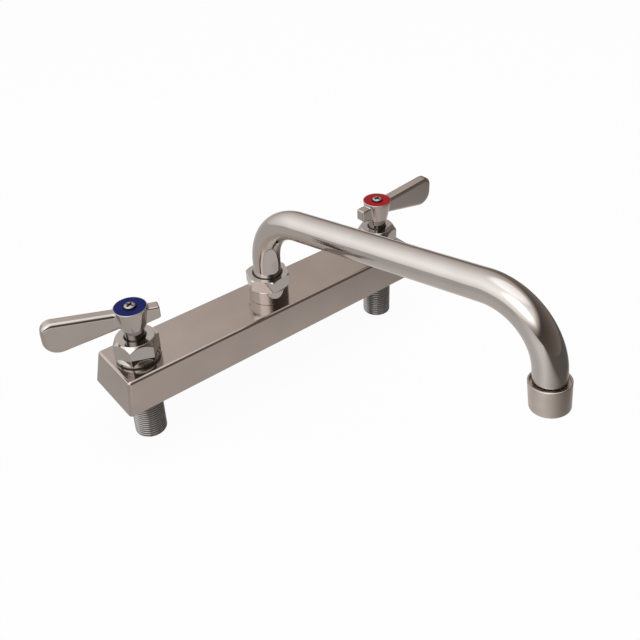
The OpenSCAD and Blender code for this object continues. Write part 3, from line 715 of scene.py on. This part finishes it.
class FAUCET_OT_bonnet_nuts(bpy.types.Operator):
    """Build the two bonnet nuts: a hexagon turned down to a wide cone on a round foot"""

    bl_idname = "faucet.bonnet_nuts"
    bl_label = "Bonnet nuts"

    FLATS, CORNERS, FOOT, BORE = 25.6, 14.95, 14.2, 11.05

    def execute(self, context):
        s = context.scene.faucet_nuts
        shape = mm(s.corner), mm(s.edge)
        # The nuts' plating is the socket's colour made 8% darker: painted shade standing in for the dark
        # reflections on the nuts.
        finish = polished_steel("Nut plating", shade(tint("plated"), 0.92), roughness=0.05,
                                grain=(1.0, 1.0, 0.06), grain_size=0.5, contrast=0.03)
        foot, top = levels("cold_bonnet_nut")
        brim, step, flare, inside = foot + 1.4, foot + 1.5, foot + 4.4, foot + 10.0
        cone_r, neck_r = 12.0, 6.5
        lower = fillet([(self.BORE, foot), (13.7, foot), (14.5, foot + 0.8), (14.5, brim)],
                       [0, 0.25, 0.25, 0], closed=False)
        flange_edge = self.dense(fillet([(self.FOOT, brim), (self.FOOT, step), (12.3, flare)],
                                        [0, 0.2, 0], 5, closed=False), foot, 0.2)
        upper = fillet([(self.CORNERS, flare), (self.CORNERS, top - 3.8), (cone_r, top),
                        (neck_r + 0.8, top), (neck_r, top - 0.9), (neck_r, inside), (self.BORE, inside),
                        (self.BORE, foot)], [0, 0, 0.35, 0.15, 0.1, 0, 0, 0], 5, closed=False)
        upper = held(self.dense(upper, top - 3.9, 0.25), closed=False)[:-1]
        for side, turn in (("cold", s.cold_turn), ("hot", s.hot_turn)):
            rows = np.concatenate([
                turned_hexagon(lower, self.FLATS, turn, *shape, self.BORE + 0.1, flange=self.FOOT),
                self.ledge(flange_edge, turn, *shape),
                turned_hexagon(upper, self.FLATS, turn, *shape, cone_r - 0.1)])
            shell = Shell().grid(rows, around=True, ends=True)
            add_piece(f"{side}_bonnet_nut_body", shell.moved(at_valve(side)), f"{side}_bonnet_nut",
                      finish, sharp=60.0)
        return {"FINISHED"}

    def ledge(self, outline, turn, corner, edge):
        """The flare from the round foot up to the hexagon that stands on it."""
        direction = corner_angles()
        reach = soft_min(self.CORNERS, hexagon(direction, self.FLATS, corner), edge)
        return np.array([turned(np.maximum(radius, reach), direction + turn, height)
                         for radius, height in outline])

    @staticmethod
    def dense(outline, above, step):
        """The same outline with its long slopes above a height cut into short steps."""
        points = [outline[0]]
        for a, b in zip(outline[:-1], outline[1:]):
            if a[1] >= above and b[1] > a[1] + step:
                count = int(np.linalg.norm(b - a) / step)
                points += [a + (b - a) * k / count for k in range(1, count)]
            points.append(b)
        return np.array(points)


class FAUCET_OT_handles(bpy.types.Operator):
    """Build the two lever handles as single castings, with the turned rim round the index disc"""

    bl_idname = "faucet.handles"
    bl_label = "Lever handles"

    def execute(self, context):
        s = context.scene.faucet_handles
        reach, thickness = mm(s.reach), mm(s.thickness)
        lever_edge, tail_edge, blend = mm(s.lever_edge), mm(s.tail_edge), mm(s.blend)
        brim = levels("cold_index_disc")[1] + 0.1
        foot, top = brim - 15.0, brim - 1.55
        foot_r, top_r, seat_r, bore = 7.6, 10.28, 9.95, 6.7
        hub = fillet([(-foot_r, foot - 0.8), (foot_r, foot - 0.8), (top_r, top), (-top_r, top)],
                     [1.6, 1.6, 0, 0], 6)
        lever = self.lever_outline(reach, brim + 2.6)
        root, end, bevel, tail_t = 5.2, 17.2, 0.7, 7.4
        high, low = brim - 2.1, foot + 4.4
        tail = fillet([(-root, high), (bevel - end, high - bevel), (-end, high - 2 * bevel), (-end, low),
                       (bevel - end, low - bevel), (-root, foot + 1.0)], [0, 0.5, 0.5, 0.8, 0.8, 0], 5)

        def distance(x, y, z):
            radius = np.hypot(x, y)
            cone = outline_distance(radius, z, hub)
            arm = plate_distance(outline_distance(x, z, lever), y, thickness, lever_edge)
            back = plate_distance(outline_distance(x, z, tail), y, tail_t, tail_edge)
            whole = soft_min(soft_min(cone, arm, blend), back, blend)
            whole = np.maximum(whole, -np.maximum(radius - bore, z - foot - 3.2))
            return np.maximum(whole, -np.maximum(radius - seat_r, top - z))

        points, faces = surface_net(distance, (-18.6, -11.6, brim - 20.9),
                                    (reach + 1.2, 11.6, brim + 3.8), mm(s.cell))
        rim_r, rim_in = 10.4, 9.9
        rim = held(fillet([(10.26, top - 0.05), (rim_r, brim - 1.0), (rim_r, brim), (rim_in, brim),
                           (rim_in, top - 0.05)], [0, 0.05, 0.4, 0.08, 0], 6), 0.08)
        finish = polished_steel("Handle steel", tint("handles"), roughness=0.12, grain=(0.05, 1.0, 1.0),
                                grain_size=0.3)
        for side, turn in (("cold", s.cold_turn), ("hot", s.hot_turn)):
            shell = Shell().quads(points, faces).lathe(rim, 128)
            add_piece(f"{side}_handle_casting", shell.moved(at_valve(side, turn)), f"{side}_handle",
                      finish, sharp=50.0)
        return {"FINISHED"}

    @staticmethod
    def lever_outline(reach, tip_top):
        """The lever's side view in (distance, height): straight edges, tangent to two round corners."""
        upper_r, lower_r, lower_drop, root = 6.8, 9.8, 12.4, 4.16
        rise, fall = math.radians(5.4), math.radians(11.3)

        def arc(radius, drop, start, stop):
            centre = np.array([reach - radius, tip_top - drop])
            return [centre + radius * np.array([math.cos(a), math.sin(a)])
                    for a in np.linspace(start, stop, 15)]

        upper = arc(upper_r, upper_r, 0, math.pi / 2 + rise)
        lower = arc(lower_r, lower_drop, -math.pi / 2 - fall, 0)
        high, low = upper[-1], lower[0]
        return np.array([*upper, [root, high[1] - (high[0] - root) * math.tan(rise)],
                         [root, low[1] + (low[0] - root) * math.tan(fall)], *lower])


class FAUCET_OT_index_discs(bpy.types.Operator):
    """Build the blue and the red index disc"""

    bl_idname = "faucet.index_discs"
    bl_label = "Index discs"

    def execute(self, context):
        low, high = levels("cold_index_disc")
        hole, edge = 2.25, 9.85
        outline = held(fillet([(hole, low), (edge, low), (edge, high), (hole, high)],
                              [0, 0, 0.22, 0], 5), 0.1)
        for side, base in (("cold", "blue"), ("hot", "red")):
            shell = Shell().lathe(outline, 96).moved(at_valve(side))
            add_piece(f"{side}_index_enamel", shell, f"{side}_index_disc",
                      enamel(f"{side.title()} enamel", tint(base)))
        return {"FINISHED"}


class FAUCET_OT_screws(bpy.types.Operator):
    """Build the domed handle screws with their cross recess"""

    bl_idname = "faucet.screws"
    bl_label = "Handle screws"

    def execute(self, context):
        seat, foot = levels("cold_index_disc")[1], levels("cold_handle_screw")[0]
        around, head_r, head_h, shaft = 192, 4.2, 2.5, 2.0
        crown, slot, arm, recess = 1.75, 0.75, 2.6, 1.2
        dome_r = (head_r ** 2 + head_h ** 2) / (2 * head_h)
        radius = np.concatenate([np.linspace(0, 3.2, 46), np.linspace(3.3, head_r, 9)])[:, None]
        turn = angles(around)
        x, y = radius * np.cos(turn), radius * np.sin(turn)
        height = seat + head_h - dome_r + np.sqrt(dome_r ** 2 - radius ** 2)
        height = soft_min(height, seat + crown, 0.6)
        arms = [np.minimum(slot - np.abs(b), (arm - np.abs(a)) * 0.6) for a, b in ((x, y), (y, x))]
        cut = np.clip(np.maximum(*arms) * 5.0, 0, 1)
        height = height - recess * cut * cut * (3 - 2 * cut)
        head = np.stack([x, y, height], -1)
        rest = rings(np.array([[head_r, seat + 0.15], [head_r - 0.15, seat], [shaft, seat],
                               [shaft, foot + 0.2], [shaft - 0.2, foot], [0.0, foot]]), around)
        finish = screw_steel("Screw steel", tint("screw"), seat + 0.9)
        for side, twist in (("cold", 0.50), ("hot", 0.15)):
            shell = Shell().grid(np.concatenate([head, rest]), around=True)
            add_piece(f"{side}_screw_head", shell.moved(at_valve(side, twist)), f"{side}_handle_screw",
                      finish, sharp=45.0)
        return {"FINISHED"}


class FAUCET_OT_spout_seat(bpy.types.Operator):
    """Build the round socket on the body and the nut on top of it"""

    bl_idname = "faucet.spout_seat"
    bl_label = "Spout socket and nut"

    def execute(self, context):
        s = context.scene.faucet_nuts
        finish = polished_steel("Socket plating", tint("plated"), roughness=0.06, grain=(1.0, 1.0, 0.06),
                                grain_size=0.5, contrast=0.03)
        (thread, neck), (shoulder, top) = levels("spout_socket"), levels("spout_nut")
        deck, ledge = thread + 6.5, shoulder - 2.5
        bore, thread_r, collar_r, neck_r, cup_r = 9.595, 11.0, 13.8, 12.1, 10.945
        socket = held(fillet(
            [(bore, thread), (thread_r, thread), (thread_r, deck), (collar_r, deck), (collar_r, shoulder),
             (neck_r, shoulder), (neck_r, neck), (cup_r, neck), (cup_r, ledge), (bore, ledge)],
            [0, 0.3, 0, 0.3, 0.7, 0, 0.3, 0, 0, 0], 6))
        add_piece("spout_socket_turned", Shell().lathe(socket, 128), "spout_socket", finish)

        flat, nut_bore, mouth_r, lip = 27.0, 12.15, 10.425, top - 2.3
        corner_r = flat / math.sqrt(3)
        outline = held(fillet(
            [(nut_bore, shoulder), (corner_r - 1.0, shoulder), (corner_r + 0.1, shoulder + 0.7),
             (corner_r + 0.1, top - 0.8), (corner_r - 1.3, top), (mouth_r, top), (mouth_r, lip),
             (nut_bore, lip)], [0, 0.2, 0.2, 0.2, 0.25, 0.25, 0, 0], 5))
        rows = turned_hexagon(outline, flat, s.spout_turn, mm(s.corner), mm(s.edge), 13.0)
        add_piece("spout_nut_body", Shell().grid(rows, around=True, ends=True), "spout_nut", finish,
                  sharp=60.0)
        dress("spout_bushing", moulded("Bushing plastic", tint("rubber"), 0.4))
        return {"FINISHED"}


def riser_top(s):
    """Height at which the riser starts to bend."""
    return levels("spout_nut")[1] + mm(s.riser)


def outlet_frame(s):
    """The place of the aerator's rim, with +Z back up the tube."""
    bend, run = mm(s.bend), mm(s.run)
    out = bend + run * math.cos(s.slope) + bend * math.cos(s.tilt) + mm(s.outlet) * math.sin(s.tilt)
    up = (riser_top(s) + run * math.sin(s.slope) + bend * math.sin(s.tilt)
          - mm(s.outlet) * math.cos(s.tilt))
    return (Matrix.Rotation(s.swing, 4, "Z") @ Matrix.Translation((out, 0, up))
            @ Matrix.Rotation(-s.tilt, 4, "Y"))


class FAUCET_OT_spout_tube(bpy.types.Operator):
    """Sweep the spout's tube along its two bends, inside and out, with the faint ripples of its polish"""

    bl_idname = "faucet.spout_tube"
    bl_label = "Spout tube"

    def execute(self, context):
        s = context.scene.faucet_spout
        path = self.path(s)
        around = 96
        turn = angles(around)
        place, lean = path[:, :2], path[:, 2:3]
        along = np.concatenate([[0], np.cumsum(np.linalg.norm(np.diff(place, axis=0), axis=1))])[:, None]
        ripple = mm(s.ripple) * (np.sin(along / 5.1 + 2 * np.sin(turn)) * np.sin(along / 17.0 + 3 * turn)
                                 + 0.5 * np.sin(along / 2.3 + 5 * turn))
        walls = []
        for radius in (mm(s.tube_radius) + ripple, mm(s.tube_radius) - mm(s.tube_wall) + 0 * ripple):
            across = radius * np.cos(turn)
            out = place[:, :1] + across * np.cos(lean)
            up = place[:, 1:] - across * np.sin(lean)
            walls.append(np.stack([out, radius * np.sin(turn), up], -1))
        shell = Shell().grid(np.concatenate([walls[0], walls[1][::-1]]), around=True, ends=True)
        finish = polished_steel("Tube steel", tint("tube"), roughness=0.075, grain=(1.0, 0.03, 1.0),
                                grain_size=0.4, source="UV", contrast=0.03)
        add_piece("spout_tube_swept", shell.moved(Matrix.Rotation(s.swing, 4, "Z")), "spout_tube",
                  finish, sharp=60.0)
        return {"FINISHED"}

    @staticmethod
    def path(s):
        """Points (out, up, lean) of the centre line: lean is the tube's slope away from upright."""
        bend, run, slope, top = mm(s.bend), mm(s.run), s.slope, riser_top(s)
        first, last = math.pi / 2 - slope, math.pi - s.tilt

        def arc(centre, start, stop, count):
            return [(centre[0] - bend * math.cos(a), centre[1] + bend * math.sin(a), a)
                    for a in np.linspace(start, stop, count, endpoint=False)]

        foot = levels("spout_tube")[0]
        points = [(0.0, z, 0.0) for z in np.linspace(foot, top, 12, endpoint=False)]
        points += arc((bend, top), 0, first, 48)
        start = np.array([bend - bend * math.cos(first), top + bend * math.sin(first)])
        ahead = np.array([math.cos(slope), math.sin(slope)])
        points += [(*(start + ahead * d), first) for d in np.linspace(0, run, 60, endpoint=False)]
        centre = start + ahead * run + bend * np.array([math.sin(slope), -math.cos(slope)])
        points += arc(centre, first, last, 52)
        end = centre + bend * np.array([-math.cos(last), math.sin(last)])
        down = np.array([math.sin(last), math.cos(last)])
        points += [(*(end + down * d), last) for d in np.linspace(0, mm(s.outlet) + mm(s.inset), 9)]
        return np.array(points)


class FAUCET_OT_aerator(bpy.types.Operator):
    """Build the aerator's satin shell, and finish its insert, screen and adapter"""

    bl_idname = "faucet.aerator"
    bl_label = "Aerator"

    def execute(self, context):
        thread, seat, mouth, tall, lip = 10.8, 10.0, 9.3, 16.8, 1.0
        outline = held(fillet(
            [(thread, 0.0), (11.9, 0.0), (11.3, -tall), (mouth, -tall), (mouth, lip - tall),
             (seat, lip - tall), (seat, -12.5), (thread, -12.5)],
            [0.2, 0.45, 0.8, 0.3, 0, 0, 0, 0], 6))
        shell = Shell().lathe(outline, 128).moved(outlet_frame(context.scene.faucet_spout))
        add_piece("aerator_shell_turned", shell, "aerator_shell",
                  satin_steel("Aerator satin", tint("satin")))
        dress("outlet_adapter", machined("Adapter nickel", tint("satin"), roughness=0.3))
        dress("aerator_insert", moulded("Insert plastic", tint("plastic"), 0.45, contrast=0.04))
        dress("aerator_screen", woven_wire("Screen wire", tint("screw")))
        return {"FINISHED"}


class FAUCET_OT_inner_parts(bpy.types.Operator):
    """Finish the valve cartridges, seals, discs and stems, and the spout's ferrule"""

    bl_idname = "faucet.inner_parts"
    bl_label = "Cartridges and seals"

    def execute(self, context):
        brass = machined("Brass", tint("brass"), roughness=0.3)
        rubber = moulded("Seal rubber", tint("rubber"), 0.5)
        lapped = ceramic("Lapped ceramic", tint("ceramic"))
        finishes = {
            # Painted shade: the necks' nickel is darkened for the shade under the hubs.
            "cartridge_housing": polished_steel("Neck nickel", tint("neck"), roughness=0.07,
                                                grain=(1.0, 1.0, 0.08)),
            "stem_clip": machined("Clip steel", tint("screw"), roughness=0.35),
            "stem": brass, "fixed_disc": lapped, "turning_disc": lapped,
            "housing_oring": rubber, "seat_seal": rubber, "stem_orings": rubber}
        for side in ("cold", "hot"):
            for part, finish in finishes.items():
                dress(f"{side}_{part}", finish)
        for node, finish in (("spout_ferrule", brass), ("spout_orings", rubber),
                             ("aerator_washer", rubber)):
            dress(node, finish)
        return {"FINISHED"}


# ---------------------------------------------------------------- the studio


def warm_shade(f, level, glossy, dim):
    """The colour of the room at a strength, as the metal sees it: warm where it is dim and white where
    it is bright. Everything else sees white."""
    return f.mix(1 - glossy * f.ramp(level * 0.5, (0.03, 1.0), (0.7, 0.0)), dim, (1.0, 1.0, 1.0))


class FAUCET_OT_studio(bpy.types.Operator):
    """Add the floor, the world, the lamps and the camera"""

    bl_idname = "faucet.studio"
    bl_label = "Studio"

    def execute(self, context):
        s = context.scene.faucet_studio
        context.scene.view_settings.view_transform = "Standard"
        self.floor(s)
        self.world(context, s)
        for name, place, size, radiance in (
            ("Overhead softbox", (0.1, -0.3, 1.6), (1.4, 1.4), 1.3),
            ("Left softbox", (-1.35, -0.3, 1.1), (1.2, 1.2), 1.3),
        ):
            self.lamp(name, place, size, radiance * s.lamps)
        self.camera(context)
        return {"FINISHED"}

    @staticmethod
    def floor(s):
        """A wide pale plane just under the shanks. The camera sees it white, and the metal sees it fall
        off to the front and the right."""
        size, low = 3.0, CAD_BOX[0][2] - 0.0002
        mesh = bpy.data.meshes.new("studio_floor")
        ring = [(size * math.cos(a), size * math.sin(a), low) for a in angles(64)]
        mesh.from_pydata(ring, [], [list(range(len(ring)))])
        f = Finish("Floor")
        seen, glossy = f.rays()
        x, y, _ = f.parts(f.node("ShaderNodeTexCoord").outputs["Object"])
        ahead = x * 0.62 - y * 0.79
        near = f.ramp(y * -1.0, (0.14, 0.0), (0.24, 1.0))
        spread = f.ramp(ahead + 0.5, (0.36, 0.84), (0.5, 1.0), (0.6, 1.0), (0.88, 0.0))
        mirrored = 0.13 + spread * (0.64 + near * 0.3)
        paint = f.node("ShaderNodeBsdfDiffuse", {}, {"Color": (*s.floor, 1)})
        glow = f.node("ShaderNodeEmission", {}, {
            "Color": warm_shade(f, mirrored, glossy, (1.0, 0.91, 0.85)),
            "Strength": seen + glossy * mirrored})
        mixed = f.node("ShaderNodeMixShader", {}, {
            0: f.math("MAXIMUM", seen, glossy) * 0.95, 1: paint.outputs[0], 2: glow.outputs[0]})
        f.node("ShaderNodeOutputMaterial", {}, {"Surface": mixed.outputs[0]})
        mesh.materials.append(f.owner)
        plane = add_object("studio_floor", mesh)

    @staticmethod
    def world(context, s):
        """White to the camera. The metal sees a white room, brightest at the upper left, with a dim side
        in front and to the right."""
        world = bpy.data.worlds.new("Studio")
        context.scene.world = world
        f = Finish("Studio", world)
        seen, glossy = f.rays()
        x, y, z = f.parts(f.node("ShaderNodeTexCoord").outputs["Generated"])
        lit = f.ramp(y * 0.55 - x * 0.5 + z * 0.9 + 0.18, (0.36, 0.0), (0.62, 1.0))
        bright = (1.2 - x * 0.8) * f.ramp(z, (0.0, 0.65), (0.5, 1.0))
        dark = f.math("MAXIMUM", x * 0.1 - z * 0.15 + 0.2, 0.06)
        window = f.ramp(z * 0.616 - x * 0.714 - y * 0.333, (0.9, 0.0), (0.97, 1.0)) * 0.9
        above = f.ramp(z, (0.86, 0.0), (0.94, 1.0)) * 0.75
        room = dark + (bright - dark) * lit + window + above
        plain = (1 - f.math("MAXIMUM", seen, glossy)) * s.ambient
        background = f.node("ShaderNodeBackground", {}, {
            "Color": warm_shade(f, room, glossy, (1.0, 0.83, 0.73)),
            "Strength": seen + glossy * room + plain})
        f.node("ShaderNodeOutputWorld", {}, {"Surface": background.outputs[0]})

    @staticmethod
    def lamp(name, place, size, radiance):
        """A soft rectangular lamp of a given radiance, aimed at the faucet."""
        light = bpy.data.lights.new(name, "AREA")
        light.shape = "RECTANGLE"
        light.size, light.size_y = size
        light.energy = radiance * math.pi * size[0] * size[1]
        lamp = add_object(name, light)
        lamp.visible_camera = lamp.visible_glossy = False
        target = np.array([0.0, -0.05, 0.03])
        back = np.array(place) - target
        back = back / np.linalg.norm(back)
        right = np.cross([0, 0, 1], back)
        right = right / np.linalg.norm(right)
        up = np.cross(back, right)
        lamp.matrix_world = Matrix([*np.stack([right, up, back, place], -1).tolist(), (0, 0, 0, 1)])

    @staticmethod
    def camera(context):
        """The photograph's viewpoint. The columns are its axes (right, up, back) and its place."""
        view = bpy.data.cameras.new("Viewpoint")
        view.sensor_width = 36.0
        view.lens = 46.909
        view.shift_x = -0.04277
        view.shift_y = -0.12987
        view.clip_start = 0.01
        camera = add_object("Viewpoint", view)
        camera.matrix_world = Matrix((
            (0.7614585, 0.3444748, -0.5491066, -0.26513),
            (-0.6480846, 0.3876735, -0.6555117, -0.40276),
            (-0.0129332, 0.8550125, 0.5184461, 0.35880),
            (0, 0, 0, 1)))
        context.scene.camera = camera


# ---------------------------------------------------------------- registration


PIECES = (FAUCET_OT_body, FAUCET_OT_shanks, FAUCET_OT_bonnet_nuts, FAUCET_OT_handles,
          FAUCET_OT_index_discs, FAUCET_OT_screws, FAUCET_OT_spout_seat, FAUCET_OT_spout_tube,
          FAUCET_OT_aerator, FAUCET_OT_inner_parts, FAUCET_OT_studio)
GROUPS = {"faucet_shanks": FaucetShankSizes, "faucet_nuts": FaucetNutSizes,
          "faucet_handles": FaucetHandleSizes, "faucet_spout": FaucetSpoutSizes,
          "faucet_colours": FaucetColours, "faucet_studio": FaucetStudio}


class FAUCET_PT_sidebar(bpy.types.Panel):
    """Lists the faucet's sizes and colours, and the operators that build it"""

    bl_idname = "FAUCET_PT_sidebar"
    bl_label = "Deck-Mount Faucet"
    bl_space_type = "VIEW_3D"
    bl_region_type = "UI"
    bl_category = "Faucet"

    def draw(self, context):
        for attribute, group in GROUPS.items():
            box = self.layout.box()
            box.label(text=group.__doc__)
            for name in group.__annotations__:
                box.prop(getattr(context.scene, attribute), name)
        for operator in PIECES:
            self.layout.operator(operator.bl_idname)


CLASSES = (*GROUPS.values(), *PIECES, FAUCET_PT_sidebar)


def register():
    for cls in CLASSES:
        bpy.utils.register_class(cls)
    for attribute, group in GROUPS.items():
        setattr(bpy.types.Scene, attribute, PointerProperty(type=group))


def unregister():
    for attribute in GROUPS:
        delattr(bpy.types.Scene, attribute)
    for cls in reversed(CLASSES):
        bpy.utils.unregister_class(cls)


def main():
    """Builds the whole scene."""
    register()
    for operator in PIECES:
        group, name = operator.bl_idname.split(".")
        getattr(getattr(bpy.ops, group), name)()


if __name__ == "__main__":
    main()
